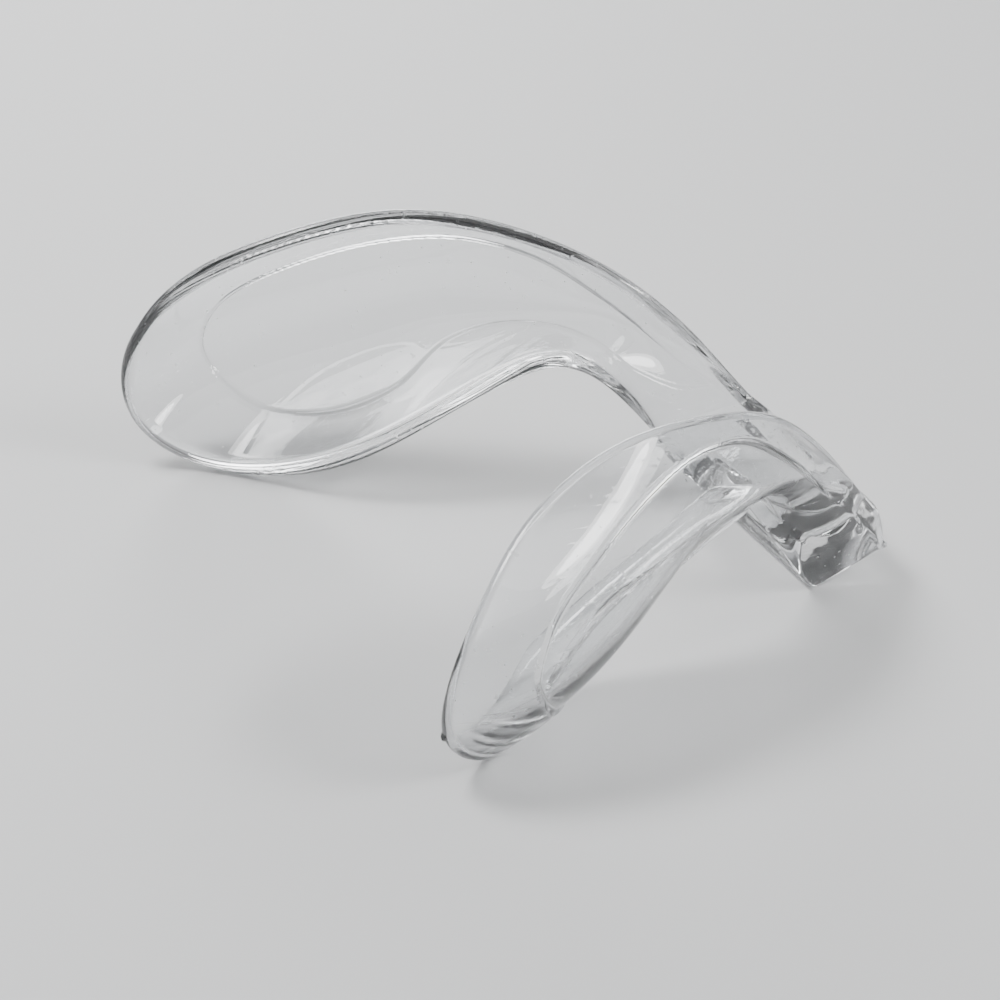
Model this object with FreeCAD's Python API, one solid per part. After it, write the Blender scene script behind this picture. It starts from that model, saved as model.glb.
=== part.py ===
import FreeCAD, Part
import math
import os
from FreeCAD import Vector

# Self-holding cheek retractor of the M type, moulded in one shot of clear
# polycarbonate.  All sizes are millimetres.
#
# Frame: the origin is the middle of the narrow flat under the heel bar.  X runs
# across the mouth, +Y runs from the heel towards the paddle tips and +Z is up.
# The part stands as it does on a table, on the heel and both paddles.

# ---- heel bar -------------------------------------------------------------
HEEL_HALF_WIDTH = 12.1       # half the bar's length across the mouth
HEEL_FRONT_Y = 0.65          # inner face, towards the paddles
HEEL_BACK_Y = -7.2           # outer face
HEEL_LAND = 1.3              # depth of the flat the bar stands on
HEEL_BACK_LIFT = 2.75        # how far the underside rises at the outer face
HEEL_FRONT_HEIGHT = 5.2
HEEL_BACK_HEIGHT = 7.3
HEEL_EDGE_RADIUS = 0.6
GATE_NUB_RADIUS = 0.28       # stub left where the moulding gate was cut off

# ---- wing outline ---------------------------------------------------------
# Poles of the rim, one curve from the outer corner of the root, over the top
# edge, round the paddle tip and back along the lower edge to the inner corner.
RIM_POLES = (
    (10.9, -6.3, 4.4),
    (12.7, -2.3, 10.4),
    (14.8, 4.6, 19.1),
    (22.5, 15.9, 23.7),
    (25.9, 26.5, 25.1),
    (30.2, 38.6, 20.6),
    (36.1, 46.5, 12.8),
    (34.0, 47.1, 3.9),
    (30.7, 38.1, -0.6),
    (18.5, 30.6, 3.9),
    (19.0, 15.4, 12.0),
    (13.0, 8.4, 14.6),
    (11.3, 1.6, 3.2),
)
RIM_DEGREE = 3

# Half thickness of the rim at even steps along the same way round.
RIM_HALF_THICKNESS = (0.85, 0.68, 0.72, 1.05, 1.25, 1.05, 0.9)

# How far the blade bows outwards between its two edges, root to tip.
BOW = (1.2, 4.2, 8.0, 7.0, 1.8)
BOW_FADE = 6                 # power with which the bow dies away at the very tip

BLADE_THINNING = 0.35        # share of the thickness lost half way up the blade
PAD_STEP = 0.2               # depth of the step round the pad, on each face
SECTIONS = 21                # cross-sections from root to tip
SECTION_SIDE_POINTS = 7      # points up each face of a cross-section
LAST_SECTION = 0.985         # how near the tip the last cross-section comes
CROWDING = 0.3               # crowds the cross-sections towards the tip
TAPER_START = 0.85           # the blade thins into a rounded tip beyond this share

# ---- pad outline ----------------------------------------------------------
# The thin pad inside the raised border, in side view: root end, along its lower
# edge to the tip, back along its upper edge.  (Y, Z)
PAD_OUTLINE = (
    (-2.9, 7.9),
    (0.5, 7.3),
    (4.6, 9.6),
    (8.4, 13.2),
    (13.5, 13.9),
    (18.8, 12.4),
    (24.6, 8.4),
    (31.4, 4.9),
    (35.7, 5.2),
    (38.6, 9.6),
    (36.8, 14.6),
    (31.7, 18.3),
    (25.2, 21.2),
    (18.7, 22.3),
    (12.2, 20.7),
    (6.2, 16.4),
    (1.2, 11.6),
)

# ---- flexing necks --------------------------------------------------------
HINGE_X = 10.9               # the upright line each wing springs about
HINGE_Y = -2.7
NECK_RADIUS = 6.2            # the neck lies inside this radius of that line
NECK_GAP = 0.2               # clearance between neck and wing
TIP_RIM_Y = 33.5             # the rim counts as the tip's beyond this

REACH = 60.0                 # longer than the part, for cutting shapes


def curve_through_poles(poles, degree):
    """A clamped, evenly spaced spline with the given poles."""
    inner_knots = len(poles) - degree - 1
    knots = [float(i) / (inner_knots + 1) for i in range(inner_knots + 2)]
    mults = [degree + 1] + [1] * inner_knots + [degree + 1]
    curve = Part.BSplineCurve()
    curve.buildFromPolesMultsKnots([Vector(*p) for p in poles], mults, knots, False, degree)
    return curve


def value_along(values, share):
    """Smoothly varying number taken from a short list, at a share of its length."""
    poles = [(float(i), v, 0.0) for i, v in enumerate(values)]
    return curve_through_poles(poles, min(3, len(values) - 1)).value(share).y


def derivative(curve, u):
    """Direction of travel of a curve, from two close points."""
    step = 1e-4
    low = max(0.0, u - step)
    high = min(1.0, u + step)
    return (curve.value(high) - curve.value(low)) * (1.0 / (high - low))


def outward_bow(rim, share):
    """How far and which way the blade bows between its edges, 0 = root, 1 = tip."""
    ahead = derivative(rim, 0.5 * share) - derivative(rim, 1.0 - 0.5 * share)
    outward = Vector(ahead.y, -ahead.x, 0.0)
    outward.normalize()
    return outward, value_along(BOW, share) * (1.0 - share ** BOW_FADE)


def section_wire(rim, share, shrink):
    """One closed cross-section with rounded edges, share = 0 at the root, 1 at the tip."""
    top_u = 0.5 * share
    low_u = 1.0 - 0.5 * share
    top = rim.value(top_u)
    low = rim.value(low_u)
    outward, bow = outward_bow(rim, share)
    rise = top - low
    beyond_start = max(0.0, share - TAPER_START) / (1.0 - TAPER_START)
    taper = math.sqrt(1.0 - beyond_start ** 2)
    low_half = taper * value_along(RIM_HALF_THICKNESS, low_u)
    top_half = taper * value_along(RIM_HALF_THICKNESS, top_u)
    inner_side = []
    outer_side = []
    beyond = []
    for i in range(SECTION_SIDE_POINTS):
        h = float(i) / (SECTION_SIDE_POINTS - 1)
        middle = 4.0 * h * (1.0 - h)
        centre = low + rise * h + outward * (bow * middle)
        along = rise + outward * (4.0 * bow * (1.0 - 2.0 * h))
        along.normalize()
        across = outward - along * outward.dot(along)
        across.normalize()
        half = low_half + (top_half - low_half) * h
        half = half * (1.0 - BLADE_THINNING * middle) - shrink * taper
        inner_side.append(centre - across * half)
        outer_side.append(centre + across * half)
        beyond.append(along * half)
    low_end = low - beyond[0]
    top_end = top + beyond[-1]
    edges = [
        smooth_edge(inner_side),
        Part.Arc(inner_side[-1], top_end, outer_side[-1]).toShape(),
        smooth_edge(outer_side[::-1]),
        Part.Arc(outer_side[0], low_end, inner_side[0]).toShape(),
    ]
    return Part.Wire(edges)


def smooth_edge(points):
    """A smooth open curve through the points."""
    curve = Part.BSplineCurve()
    curve.interpolate(Points=points)
    return curve.toShape()


def blade(rim, shrink):
    """The whole wing as one smooth solid, thinner by shrink on every side."""
    wires = []
    for i in range(SECTIONS):
        even = LAST_SECTION * float(i) / (SECTIONS - 1)
        share = even + CROWDING * even * (LAST_SECTION - even)
        wires.append(section_wire(rim, share, shrink))
    return Part.makeLoft(wires, True, False)


def pad_prism():
    """Everything in line, side to side, with the pad."""
    curve = Part.BSplineCurve()
    curve.interpolate(Points=[Vector(0.0, y, z) for y, z in PAD_OUTLINE], PeriodicFlag=True)
    face = Part.Face(Part.Wire([curve.toShape()]))
    return face.extrude(Vector(REACH, 0.0, 0.0))


def largest(shape):
    """The biggest solid of a cut, without slivers."""
    return sorted(shape.Solids, key=lambda s: s.Volume)[-1]


def heel():
    """The thick bar joining the two wings, with a tilted underside."""
    land_back = HEEL_FRONT_Y - HEEL_LAND
    outline = [
        Vector(-HEEL_HALF_WIDTH, HEEL_FRONT_Y, 0.0),
        Vector(-HEEL_HALF_WIDTH, land_back, 0.0),
        Vector(-HEEL_HALF_WIDTH, HEEL_BACK_Y, HEEL_BACK_LIFT),
        Vector(-HEEL_HALF_WIDTH, HEEL_BACK_Y, HEEL_BACK_HEIGHT),
        Vector(-HEEL_HALF_WIDTH, HEEL_FRONT_Y, HEEL_FRONT_HEIGHT),
    ]
    face = Part.Face(Part.makePolygon(outline + outline[:1]))
    bar = face.extrude(Vector(2.0 * HEEL_HALF_WIDTH, 0.0, 0.0))
    upper = []
    for edge in bar.Edges:
        lowest = edge.BoundBox.ZMin
        runs_across = edge.BoundBox.XLength > HEEL_HALF_WIDTH
        if runs_across and lowest > HEEL_FRONT_HEIGHT - 0.1:
            upper.append(edge)
        if not runs_across and edge.BoundBox.YLength < 0.01:
            upper.append(edge)
    bar = bar.makeFillet(HEEL_EDGE_RADIUS, upper)
    corner = Vector(-HEEL_HALF_WIDTH + 0.15, HEEL_BACK_Y + 0.15, HEEL_BACK_LIFT + 0.35)
    return bar.fuse(Part.makeSphere(GATE_NUB_RADIUS, corner)).removeSplitter()


def upright(radius):
    """Cylinder about the line the wing springs about."""
    foot = Vector(HINGE_X, HINGE_Y, -REACH / 2.0)
    return Part.makeCylinder(radius, REACH, foot)


def slab(y_from, y_to):
    """Everything between two distances from the heel."""
    corner = Vector(-REACH / 2.0, y_from, -REACH / 2.0)
    return Part.makeBox(2.0 * REACH, y_to - y_from, REACH, corner)


def wing_pieces(bar):
    """The right-hand wing, cut into its neck, three lengths of rim, and pad."""
    rim = curve_through_poles(RIM_POLES, RIM_DEGREE)
    whole = blade(rim, 0.0)
    thin = blade(rim, PAD_STEP)
    drop = Vector(0.0, 0.0, -whole.optimalBoundingBox().ZMin)
    whole.translate(drop)
    thin.translate(drop)
    prism = pad_prism()
    free = whole.cut(upright(NECK_RADIUS + NECK_GAP))
    rim_all = largest(free.cut(prism))
    strips = rim_all.common(slab(-REACH, TIP_RIM_Y)).Solids
    strips.sort(key=lambda s: s.CenterOfMass.z)
    free_thin = thin.cut(upright(NECK_RADIUS + NECK_GAP))
    return {
        "neck": largest(whole.common(upright(NECK_RADIUS)).cut(bar)),
        "lower_rim": strips[0],
        "upper_rim": strips[-1],
        "tip_rim": largest(rim_all.common(slab(TIP_RIM_Y, REACH))),
        "pad": largest(free_thin.common(prism)),
    }


def mirrored(shape):
    """The same piece on the other side of the mouth."""
    return shape.mirror(Vector(0.0, 0.0, 0.0), Vector(1.0, 0.0, 0.0))


def main():
    os.makedirs("parts", exist_ok=True)
    bar = heel()
    shapes = {"heel_bar": bar}
    for name, shape in wing_pieces(bar).items():
        shapes["right_" + name] = shape
        shapes["left_" + name] = mirrored(shape)
    for name, shape in shapes.items():
        shape.exportStep(os.path.join("parts", name + ".step"))
        print(name, len(shape.Solids), round(shape.Volume, 1), shape.isValid(), shape.optimalBoundingBox())


main()
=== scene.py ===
import math

import bpy
import numpy as np
from mathutils import Matrix, Vector


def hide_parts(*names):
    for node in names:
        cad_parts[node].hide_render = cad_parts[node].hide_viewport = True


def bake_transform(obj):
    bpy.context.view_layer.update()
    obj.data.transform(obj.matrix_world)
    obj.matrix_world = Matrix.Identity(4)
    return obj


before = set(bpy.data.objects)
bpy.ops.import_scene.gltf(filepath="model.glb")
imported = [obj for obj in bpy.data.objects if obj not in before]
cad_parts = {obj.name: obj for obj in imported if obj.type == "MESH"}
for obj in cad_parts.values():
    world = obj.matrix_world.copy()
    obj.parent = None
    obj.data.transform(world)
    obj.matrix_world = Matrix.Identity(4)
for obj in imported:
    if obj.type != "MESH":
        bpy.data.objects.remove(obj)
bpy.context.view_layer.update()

# Clear one-piece cheek retractor.  Shape sizes are millimetres in the CAD frame and are
# turned into metres when the meshes are made.
MM = 0.001

# ---- wing outline: the solids' rim, with a bow a little flatter at the tip -------------
RIM_POLES = np.array((
    (10.9, -6.3, 4.4),
    (12.7, -2.3, 10.4),
    (14.8, 4.6, 19.1),
    (22.5, 15.9, 23.7),
    (25.9, 26.5, 25.1),
    (30.2, 38.6, 20.6),
    (36.1, 46.5, 12.8),
    (34.0, 47.1, 3.9),
    (30.7, 38.1, -0.6),
    (18.5, 30.6, 3.9),
    (19.0, 15.4, 12.0),
    (13.0, 8.4, 14.6),
    (11.3, 1.6, 3.2),
))
RIM_HALF_THICKNESS = np.array((0.85, 0.68, 0.72, 1.05, 1.25, 1.05, 0.9))
BOW = np.array((1.2, 4.2, 8.0, 7.0, 1.4))
BOW_FADE = 8
BLADE_THINNING = 0.35
TIP_START = 0.6              # from this share on, the edge follows the tip's rounding
TIP_PULL = 0.8               # how much of the edge's overhang is given up at the tip
TIP_LIMIT = 0.999            # the rim is read no nearer its end than this share
TANGENT_STEP = 1e-4          # share of the rim either side that gives its heading

# ---- pad outline in side view ---------------------------------------------------------
PAD_OUTLINE = np.array((
    (-2.9, 7.9),
    (0.5, 7.3),
    (4.6, 9.6),
    (8.4, 13.2),
    (13.5, 13.9),
    (18.8, 12.4),
    (24.6, 8.4),
    (31.4, 4.9),
    (35.7, 5.2),
    (38.6, 9.6),
    (36.8, 14.6),
    (31.7, 18.3),
    (25.2, 21.2),
    (18.7, 22.3),
    (12.2, 20.7),
    (6.2, 16.4),
    (1.2, 11.6),
))
PAD_STEP = 0.3
PAD_STEP_WIDTH = 0.26
PAD_STEP_LIMIT = 0.5         # the step takes at most this share of the half wall

# ---- heel bar --------------------------------------------------------------------------
HEEL_HALF_WIDTH = 12.1
HEEL_BACK_Y = -7.2           # outer face of the bar
HEEL_PROFILE = ((0.65, 0.0), (0.65, 5.2), (HEEL_BACK_Y, 7.3), (HEEL_BACK_Y, 2.75), (-0.65, 0.0))
HEEL_EDGE_RADII = (1.1, 0.8, 1.3, 0.45, 0.5)
EDGE_STEPS = 10              # steps round each rounded edge of the bar
BACK_FACE_MARGIN = 0.01      # a point this near the outer face belongs to it
FRONT_SEAM_Z = 2.6           # height on the inner face where the blade's edge continues
BAR_END_X = 8.0              # the bar is straight out to here, then turns up into the arm
INNER_FILLET = 1.8
ARM_INNER_X = 10.2           # inner face of the arm where it leaves the bar
OUTER_CORNER = 0.7
CORNER_SHARPNESS = 2.5       # how quickly the turn changes from inner to outer corner
CORNER_SHARE = 0.8           # a corner's radius takes at most this share of either run
ROOT_LOOKAHEAD = 3           # cross-sections ahead that give the wing's heading at its root
ROOT_SMOOTHING = 16          # points either side over which that heading is averaged

# ---- moulding marks on the left half, given for the right half before it is mirrored ----
NUB_RADIUS = 0.42
NUB_HEIGHT = 0.38
HEEL_NUB = (12.0, -7.0, 3.0)
HEEL_NUB_OUT = (0.45, -0.9, 0.0)
TIP_NUB = (33.95, 46.2, 4.9)
TIP_NUB_OUT = (0.6, 0.8, -0.2)

# ---- looks -----------------------------------------------------------------------------
SCRATCH_STRETCH = (1.0, 0.06, 1.0)  # scratches run along the wings
FLOOR_REACH = 3.0            # metres from the middle to the floor's edge
FLOOR_COLOUR = (0.60, 0.605, 0.61)
LIT_POINT = (0.0, 0.02, 0.01)
CORE_POWER_SHARE = 0.55
HALO_POWER_SHARE = 0.45
FILL_STRENGTH = 1.7
FILL_ANGLE = 100             # degrees
# Name, place, width and height in metres, and power in watts.
SOFTBOXES = (
    ("top_softbox", (0.20, 0.22, 0.46), 0.22, 0.16, 3.2),
    ("side_strip", (-0.26, -0.29, 0.36), 0.30, 0.05, 1.8),
    ("end_softbox", (0.42, -0.10, 0.10), 0.18, 0.08, 0.9),
)

# ---- mesh density ----------------------------------------------------------------------
ACROSS = 130                 # points across a blade, edge to edge
ALONG = 300                  # cross-sections along a wing
FIRST_SHARE = 0.15           # where the arm's turn ends and the wing begins
BAR_STATIONS = 16
RUN_IN_STATIONS = 8
TURN_STATIONS = 12
RISE_STATIONS = 44


def spline_basis(u, count, degree=3):
    """Weights of the poles of a clamped, evenly spaced spline at the values u."""
    inner = count - degree - 1
    knots = np.concatenate((np.zeros(degree), np.linspace(0, 1, inner + 2), np.ones(degree)))
    u = np.clip(np.asarray(u, float), 0, 1 - 1e-12)
    basis = ((u[:, None] >= knots[None, :-1]) & (u[:, None] < knots[None, 1:])).astype(float)
    for d in range(1, degree + 1):
        raised = np.zeros((len(u), len(knots) - 1 - d))
        for i in range(len(knots) - 1 - d):
            left = knots[i + d] - knots[i]
            right = knots[i + d + 1] - knots[i + 1]
            if left > 0:
                raised[:, i] += (u - knots[i]) / left * basis[:, i]
            if right > 0:
                raised[:, i] += (knots[i + d + 1] - u) / right * basis[:, i + 1]
        basis = raised
    return basis


def spline(poles, u):
    return spline_basis(u, len(poles)) @ poles


def unit(v):
    return v / np.maximum(np.linalg.norm(v, axis=-1, keepdims=True), 1e-12)


def smoothstep(t):
    t = np.clip(t, 0, 1)
    return t * t * (3 - 2 * t)


def closed_curve(points, per_span=24):
    """A smooth closed curve through the points."""
    count = len(points)
    t = np.arange(count * per_span) / per_span
    i = t.astype(int)
    f = (t - i)[:, None]
    before, start, end, after = (points[(i + k) % count] for k in (-1, 0, 1, 2))
    return 0.5 * (2 * start + (end - before) * f
                  + (2 * before - 5 * start + 4 * end - after) * f ** 2
                  + (3 * start - before - 3 * end + after) * f ** 3)


def depth_inside(outline, y, z):
    """Distance inside a closed outline, negative outside."""
    flat = np.stack((y.ravel(), z.ravel()), 1)
    best = np.full(len(flat), 1e9)
    inside = np.zeros(len(flat), bool)
    for a, b in zip(outline, np.roll(outline, -1, 0)):
        edge = b - a
        along = np.clip(((flat - a) @ edge) / (edge @ edge), 0, 1)
        best = np.minimum(best, np.linalg.norm(flat - a - along[:, None] * edge, axis=1))
        crosses = (a[1] > flat[:, 1]) != (b[1] > flat[:, 1])
        with np.errstate(divide="ignore", invalid="ignore"):
            meets = a[0] + (flat[:, 1] - a[1]) / (b[1] - a[1]) * edge[0]
        inside ^= crosses & (flat[:, 0] < meets)
    return np.where(inside, best, -best).reshape(y.shape)


def rim_tangent(u):
    return unit(spline(RIM_POLES, u + TANGENT_STEP) - spline(RIM_POLES, u - TANGENT_STEP))


def distance_to_line(points, line):
    """Shortest distance from each point of a grid to a polyline."""
    flat = points.reshape(-1, 3)
    best = np.full(len(flat), 1e9)
    for a, b in zip(line[:-1], line[1:]):
        edge = b - a
        along = np.clip(((flat - a) @ edge) / max(edge @ edge, 1e-12), 0, 1)
        gap = flat - a - along[:, None] * edge
        best = np.minimum(best, np.einsum("ij,ij->i", gap, gap))
    return np.sqrt(best).reshape(points.shape[:2])


def rim_edge(rim, tangent, surface_out, half):
    """The rim moved out by half the wall, square to the rim and in the blade's surface."""
    out = unit(surface_out - tangent * (surface_out * tangent).sum(1, keepdims=True))
    return rim + out * half[:, None]


def wing_sheets():
    """Middle surface, normal and half wall of the right wing: cross-section, then edge to edge."""
    share = FIRST_SHARE + (1 - FIRST_SHARE) * np.linspace(0, 1, ALONG)
    near = np.minimum(share, TIP_LIMIT)
    top = spline(RIM_POLES, 0.5 * near)
    low = spline(RIM_POLES, 1 - 0.5 * near)
    top_tangent = rim_tangent(0.5 * near)
    low_tangent = rim_tangent(1 - 0.5 * near)
    ahead = top_tangent - low_tangent
    outward = unit(np.stack((ahead[:, 1], -ahead[:, 0], 0 * near), 1))
    bow = (spline(BOW[:, None], near)[:, 0] * (1 - near ** BOW_FADE) ** 2)[:, None]
    rise = top - low
    top_half = spline(RIM_HALF_THICKNESS[:, None], 0.5 * share)[:, 0]
    low_half = spline(RIM_HALF_THICKNESS[:, None], 1 - 0.5 * share)[:, 0]
    turn = smoothstep((share - TIP_START) / (1 - TIP_START))[:, None]
    spread = (1 - TIP_PULL * turn[:, 0])
    top_out = unit(rise - 4 * bow * outward) * (1 - turn) + unit(ahead) * turn
    low_out = -unit(rise + 4 * bow * outward) * (1 - turn) + unit(ahead) * turn
    top = rim_edge(top, top_tangent, top_out, top_half * spread)
    low = rim_edge(low, low_tangent, low_out, low_half * spread)
    wide = top - low
    bow = bow * ((wide ** 2).sum(1) / (rise ** 2).sum(1))[:, None]
    tip = (top[-1] + low[-1]) / 2
    top[-1] = low[-1] = tip
    wide[-1] = 0
    bow[-1] = 0
    h = (1 - np.cos(np.pi * np.arange(ACROSS + 1) / ACROSS)) / 2
    middle = 4 * h * (1 - h)
    centre = (low[:, None] + wide[:, None] * h[:, None]
              + outward[:, None] * bow[:, None] * middle[:, None])
    along = np.gradient(centre, axis=0)
    across = np.gradient(centre, axis=1)
    normal = np.cross(along, across)
    normal[-1] = normal[-2]
    normal = unit(normal)
    normal = normal * np.where((normal * outward[:, None]).sum(-1, keepdims=True) < 0, -1, 1)
    half = low_half[:, None] + (top_half - low_half)[:, None] * h
    half = half * (1 - BLADE_THINNING * middle)
    edge = np.concatenate((low, top[::-1]))
    inset = np.clip(distance_to_line(centre, edge) / half, 0, 1)
    half = half * np.sqrt(1 - (1 - inset) ** 2)
    lift = -(centre[..., 2] - half * np.abs(normal[..., 2])).min()
    return centre + np.array((0, 0, lift)), normal, half


def press_pad(rings):
    """Sinks both faces inside the pad's outline, leaving the fine crease round it."""
    inner = rings[:, 1:ACROSS]
    outer = rings[:, :ACROSS:-1]
    middle = (inner + outer) / 2
    half = np.linalg.norm(inner - outer, axis=2) / 2
    depth = depth_inside(closed_curve(PAD_OUTLINE), middle[..., 1], middle[..., 2])
    step = PAD_STEP * smoothstep(depth / PAD_STEP_WIDTH + 0.5)
    step = np.minimum(step, PAD_STEP_LIMIT * half)[..., None] * unit(inner - outer)
    pressed = rings.copy()
    pressed[:, 1:ACROSS] = inner - step
    pressed[:, :ACROSS:-1] = outer + step
    return pressed


def rounded_profile(corners, radii):
    """A closed outline with rounded corners, as points in order."""
    out = []
    count = len(corners)
    for i, (corner, radius) in enumerate(zip(corners, radii)):
        p = np.array(corner)
        a = unit(np.array(corners[i - 1]) - p)
        b = unit(np.array(corners[(i + 1) % count]) - p)
        half_angle = math.acos(float(np.clip(a @ b, -1, 1))) / 2
        reach = radius / math.tan(half_angle)
        centre = p + unit(a + b) * radius / math.sin(half_angle)
        first = p + a * reach - centre
        last = p + b * reach - centre
        for k in range(EDGE_STEPS + 1):
            t = k / EDGE_STEPS
            d = unit(first * (1 - t) + last * t)
            out.append(centre + d * radius)
    return np.array(out)


def bar_loop(weights):
    """Points round the bar's cross-section matched to a wing loop: over the top, then under."""
    outline = rounded_profile(HEEL_PROFILE, HEEL_EDGE_RADII)
    closed = np.concatenate((outline, outline[:1]))
    length = np.concatenate(([0.0], np.linalg.norm(np.diff(closed, axis=0), axis=1).cumsum()))
    face = slice(EDGE_STEPS, EDGE_STEPS + 2)
    front_mid = np.interp(FRONT_SEAM_Z, closed[face, 1], length[face])
    on_back = closed[:, 0] < HEEL_BACK_Y + BACK_FACE_MARGIN
    back_pieces = on_back[:-1] & on_back[1:]
    k = int(np.argmax(back_pieces))
    back_mid = 0.5 * (length[k] + length[k + 1])
    total = length[-1]

    def at(s):
        s = np.mod(s, total)
        return np.stack((np.interp(s, length, closed[:, 0]), np.interp(s, length, closed[:, 1])), 1)

    over = at(front_mid + weights * (back_mid - front_mid))
    under = at(front_mid + total - weights * (total - (back_mid - front_mid)))
    return over, under


def smooth_round(loop, reach):
    """Directions round a closed loop, averaged over the neighbours within reach."""
    total = sum(np.roll(loop, k, 0) for k in range(-reach, reach + 1))
    return unit(total)


def half_body():
    """Rings of points from the middle of the bar, through the arm, to the paddle's tip."""
    centre, normal, half = wing_sheets()
    inner = centre - normal * half[..., None]
    outer = centre + normal * half[..., None]
    rings = np.concatenate((inner, outer[:, -2:0:-1]), 1)
    even = (1 - np.cos(np.pi * np.arange(ACROSS + 1) / ACROSS)) / 2
    over, under = bar_loop(even)
    profile = np.concatenate((over, under[-2:0:-1]))
    count = len(profile)
    start = rings[0]
    heading = smooth_round(unit(rings[ROOT_LOOKAHEAD] - rings[0]), ROOT_SMOOTHING)
    low_end = np.stack((np.full(count, BAR_END_X), profile[:, 0], profile[:, 1]), 1)
    facing = np.tanh(CORNER_SHARPNESS * np.sin(np.pi * even))
    side = np.concatenate((-facing, facing[-2:0:-1]))
    corner_x = (ARM_INNER_X + HEEL_HALF_WIDTH) / 2 + side * (HEEL_HALF_WIDTH - ARM_INNER_X) / 2
    corner = np.stack((corner_x, profile[:, 0], profile[:, 1]), 1)
    outside = np.clip((corner[:, 0] - corner[:, 0].min()) / np.ptp(corner[:, 0]), 0, 1)
    radius = INNER_FILLET + (OUTER_CORNER - INNER_FILLET) * smoothstep(outside)
    run_in = np.linalg.norm(corner - low_end, axis=1)
    run_out = np.linalg.norm(start - corner, axis=1)
    radius = np.minimum(radius, CORNER_SHARE * np.minimum(run_in, run_out))
    into = unit(corner - low_end)
    out = unit(start - corner)
    enter = corner - into * radius[:, None]
    leave = corner + out * radius[:, None]
    loops = []
    for t in np.linspace(0, 1, BAR_STATIONS, endpoint=False):
        loops.append(low_end * np.array((t, 1, 1)))
    for t in np.linspace(0, 1, RUN_IN_STATIONS, endpoint=False):
        loops.append(low_end + (enter - low_end) * t)
    for t in np.linspace(0, 1, TURN_STATIONS, endpoint=False):
        loops.append(enter * (1 - t) ** 2 + corner * 2 * t * (1 - t) + leave * t ** 2)
    span = np.linalg.norm(start - leave, axis=1)[:, None]
    for t in np.linspace(0, 1, RISE_STATIONS, endpoint=False):
        h00 = 2 * t ** 3 - 3 * t ** 2 + 1
        h10 = t ** 3 - 2 * t ** 2 + t
        h01 = 3 * t ** 2 - 2 * t ** 3
        h11 = t ** 3 - t ** 2
        loops.append(h00 * leave + h10 * span * out + h01 * start + h11 * span * heading)
    rings[-1] = rings[-1].mean(0)
    loops = np.concatenate((np.array(loops), rings))
    arm = len(loops) - ALONG - RISE_STATIONS
    loops[arm:] = press_pad(loops[arm:])
    return loops


def raise_nub(rings, place, outward):
    """A small witness of the mould's gate: a rounded pip standing on the surface."""
    away = np.linalg.norm(rings - np.array(place), axis=2)
    lift = NUB_HEIGHT * np.exp(-(away / NUB_RADIUS) ** 4)
    return rings + lift[..., None] * unit(np.array(outward))


def half_mesh(name, rings, side):
    """A mesh from rings of points; the last ring is a single point, the first is left open."""
    count = rings.shape[1]
    points = rings[:-1].reshape(-1, 3)
    points = np.concatenate((points, rings[-1, :1])) * MM
    points = points * np.array((side, 1, 1))
    faces = []
    last = len(rings) - 2
    for i in range(last):
        a = i * count + np.arange(count)
        b = i * count + (np.arange(count) + 1) % count
        faces.append(np.stack((a, b, b + count, a + count), 1))
    quads = np.concatenate(faces)
    a = last * count + np.arange(count)
    b = last * count + (np.arange(count) + 1) % count
    fan = np.stack((a, b, np.full(count, len(points) - 1)), 1)
    if side < 0:
        quads = quads[:, ::-1]
        fan = fan[:, ::-1]
    mesh = bpy.data.meshes.new(name)
    mesh.from_pydata(points.tolist(), [], quads.tolist() + fan.tolist())
    mesh.polygons.foreach_set("use_smooth", [True] * len(mesh.polygons))
    mesh.validate()
    mesh.update()
    piece = bpy.data.objects.new(name, mesh)
    bpy.context.scene.collection.objects.link(piece)
    return piece


def noise(tree, vector, scale, detail):
    node = tree.nodes.new("ShaderNodeTexNoise")
    node.inputs["Scale"].default_value = scale
    node.inputs["Detail"].default_value = detail
    tree.links.new(vector, node.inputs["Vector"])
    return node.outputs["Fac"]


def remap(tree, value, from_min, from_max, to_min, to_max):
    node = tree.nodes.new("ShaderNodeMapRange")
    node.inputs["From Min"].default_value = from_min
    node.inputs["From Max"].default_value = from_max
    node.inputs["To Min"].default_value = to_min
    node.inputs["To Max"].default_value = to_max
    tree.links.new(value, node.inputs["Value"])
    return node.outputs["Result"]


def combine(tree, operation, first, second):
    node = tree.nodes.new("ShaderNodeMath")
    node.operation = operation
    tree.links.new(first, node.inputs[0])
    tree.links.new(second, node.inputs[1])
    return node.outputs["Value"]


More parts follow.
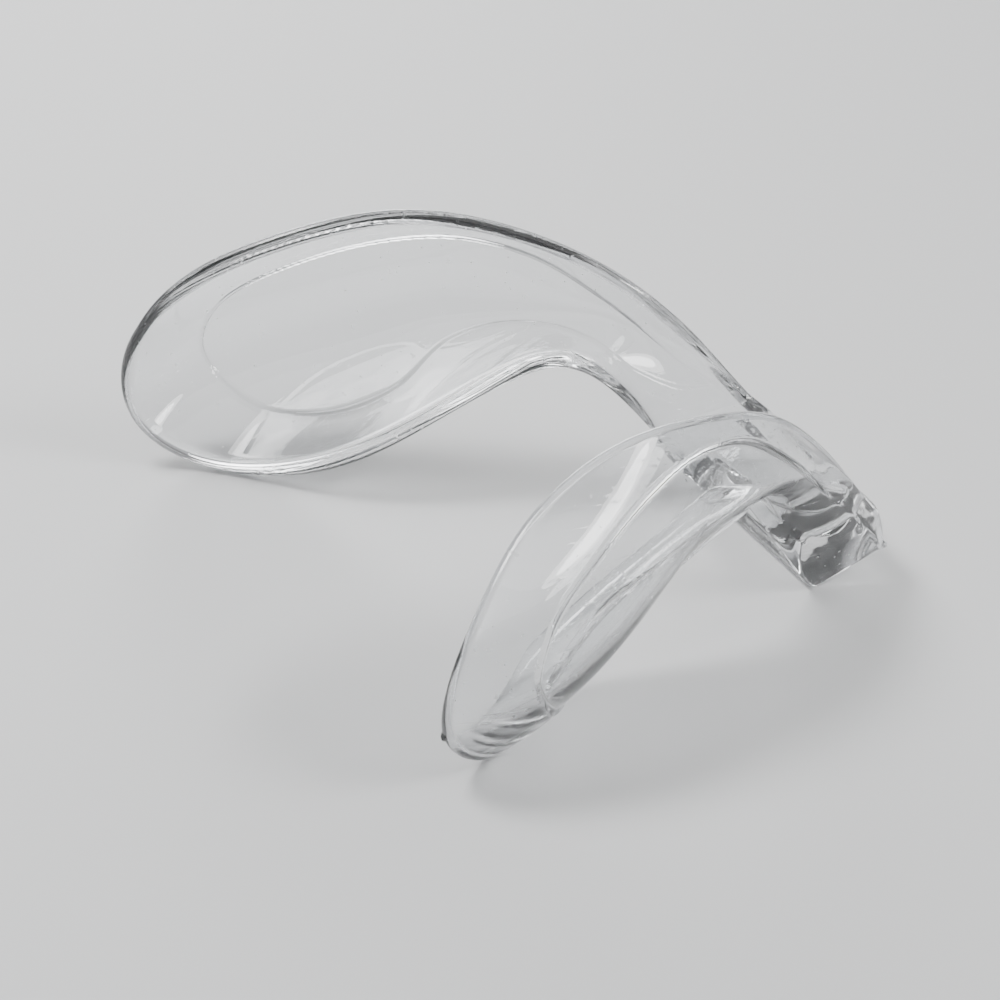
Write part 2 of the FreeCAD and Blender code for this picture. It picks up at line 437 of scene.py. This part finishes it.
def clear_polycarbonate():
    """Water-clear moulded plastic: faint haze, frosted specks, flow ripple and scratches."""
    mat = bpy.data.materials.new("clear_polycarbonate")
    mat.use_nodes = True
    tree = mat.node_tree
    shader = tree.nodes["Principled BSDF"]
    shader.inputs["Base Color"].default_value = (0.955, 0.965, 0.975, 1)
    shader.inputs["Transmission Weight"].default_value = 0.975
    shader.inputs["IOR"].default_value = 1.585
    place = tree.nodes.new("ShaderNodeTexCoord").outputs["Object"]
    haze = remap(tree, noise(tree, place, 90.0, 4.0), 0.35, 0.75, 0.008, 0.05)
    specks = remap(tree, noise(tree, place, 1700.0, 1.0), 0.72, 0.78, 0.0, 0.45)
    tree.links.new(combine(tree, "MAXIMUM", haze, specks), shader.inputs["Roughness"])
    ripple = noise(tree, place, 220.0, 2.0)
    stretch = tree.nodes.new("ShaderNodeMapping")
    stretch.inputs["Scale"].default_value = SCRATCH_STRETCH
    tree.links.new(place, stretch.inputs["Vector"])
    marks = noise(tree, stretch.outputs["Vector"], 2600.0, 3.0)
    scratches = remap(tree, marks, 0.62, 0.80, 0.0, 0.5)
    bump = tree.nodes.new("ShaderNodeBump")
    bump.inputs["Strength"].default_value = 0.15
    bump.inputs["Distance"].default_value = 0.0001
    tree.links.new(combine(tree, "ADD", ripple, scratches), bump.inputs["Height"])
    tree.links.new(bump.outputs["Normal"], shader.inputs["Normal"])
    return mat


def matt(name, colour, roughness):
    mat = bpy.data.materials.new(name)
    mat.use_nodes = True
    shader = mat.node_tree.nodes["Principled BSDF"]
    shader.inputs["Base Color"].default_value = (*colour, 1)
    shader.inputs["Roughness"].default_value = roughness
    return mat


def floor():
    r = FLOOR_REACH
    mesh = bpy.data.meshes.new("floor")
    mesh.from_pydata([(-r, -r, 0), (r, -r, 0), (r, r, 0), (-r, r, 0)], [], [(0, 1, 2, 3)])
    plane = bpy.data.objects.new("floor", mesh)
    bpy.context.scene.collection.objects.link(plane)
    plane.data.materials.append(matt("pale_floor", FLOOR_COLOUR, 0.55))


def lamp(name, place, look_at, width, height, power):
    light = bpy.data.lights.new(name, "AREA")
    light.shape = "ELLIPSE"
    light.size = width
    light.size_y = height
    light.energy = power
    lamp_object = bpy.data.objects.new(name, light)
    lamp_object.location = place
    lamp_object.rotation_mode = "QUATERNION"
    lamp_object.rotation_quaternion = (Vector(look_at) - Vector(place)).to_track_quat("-Z", "Y")
    bpy.context.scene.collection.objects.link(lamp_object)


def softbox(name, place, look_at, width, height, power):
    """A lamp inside a wider, weaker one, so that its mirror image has a soft border."""
    lamp(name + "_core", place, look_at, width, height, CORE_POWER_SHARE * power)
    lamp(name + "_halo", place, look_at, 1.5 * width, 1.6 * height, HALO_POWER_SHARE * power)


def sky():
    """Pale at the horizon, like the floor, and dimmer overhead so that clear edges draw dark."""
    world = bpy.data.worlds.new("studio")
    world.use_nodes = True
    tree = world.node_tree
    background = tree.nodes["Background"]
    background.inputs["Color"].default_value = (0.95, 0.97, 1.0, 1)
    place = tree.nodes.new("ShaderNodeTexCoord")
    height = tree.nodes.new("ShaderNodeSeparateXYZ")
    tree.links.new(place.outputs["Generated"], height.inputs["Vector"])
    fade = tree.nodes.new("ShaderNodeMapRange")
    fade.interpolation_type = "SMOOTHSTEP"
    fade.inputs["From Min"].default_value = 0.08
    fade.inputs["From Max"].default_value = 0.35
    fade.inputs["To Min"].default_value = 0.55
    fade.inputs["To Max"].default_value = 0.04
    tree.links.new(height.outputs["Z"], fade.inputs["Value"])
    tree.links.new(fade.outputs["Result"], background.inputs["Strength"])
    bpy.context.scene.world = world


def fill_light():
    """A very wide, even light from above that keeps the floor pale to the horizon."""
    light = bpy.data.lights.new("fill", "SUN")
    light.energy = FILL_STRENGTH
    light.angle = math.radians(FILL_ANGLE)
    fill = bpy.data.objects.new("fill", light)
    bpy.context.scene.collection.objects.link(fill)


def lights():
    sky()
    fill_light()
    for name, place, width, height, power in SOFTBOXES:
        softbox(name, place, LIT_POINT, width, height, power)


# Camera: solved from the outlines of the real object and of its mirror image.
CAMERA_ELEVATION = 25.95
CAMERA_AZIMUTH = 244.24
CAMERA_ROLL = 1.78
CAMERA_DISTANCE = 0.7703     # metres from the aim point
FRAME_WIDTH = 0.090          # metres across the picture at the aim point
AIM_POINT = Vector((0.0, 0.0027, 0.0))
AIM_RIGHT = 0.2253           # where the aim point lies in the picture, from its centre,
AIM_DOWN = 0.0315            # as shares of the picture's width


def camera():
    a = math.radians(CAMERA_AZIMUTH)
    e = math.radians(CAMERA_ELEVATION)
    roll = math.radians(CAMERA_ROLL)
    back = Vector((math.sin(a) * math.cos(e), -math.cos(a) * math.cos(e), math.sin(e)))
    right = Vector((math.cos(a), math.sin(a), 0))
    up = back.cross(right)
    data = bpy.data.cameras.new("camera")
    data.sensor_width = 36.0
    data.lens = 36.0 * CAMERA_DISTANCE / FRAME_WIDTH
    data.clip_start = 0.01
    data.clip_end = 20.0
    cam = bpy.data.objects.new("camera", data)
    cam.location = (AIM_POINT + back * CAMERA_DISTANCE + up * AIM_DOWN * FRAME_WIDTH
                    - right * AIM_RIGHT * FRAME_WIDTH)
    right_rolled = right * math.cos(roll) + up * math.sin(roll)
    up_rolled = up * math.cos(roll) - right * math.sin(roll)
    cam.rotation_mode = "QUATERNION"
    cam.rotation_quaternion = Matrix((right_rolled, up_rolled, back)).transposed().to_quaternion()
    bpy.context.scene.collection.objects.link(cam)
    bpy.context.scene.camera = cam


WING_NODES = ("neck", "lower_rim", "upper_rim", "tip_rim", "pad")

rings = half_body()
plastic = clear_polycarbonate()
marked = raise_nub(raise_nub(rings, HEEL_NUB, HEEL_NUB_OUT), TIP_NUB, TIP_NUB_OUT)
for side_name, side, shape in (("right", 1, rings), ("left", -1, marked)):
    body = half_mesh(side_name + "_half", shape, side)
    body.data.materials.append(plastic)
    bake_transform(body)
    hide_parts("heel_bar", *(side_name + "_" + n for n in WING_NODES))

floor()
lights()
camera()
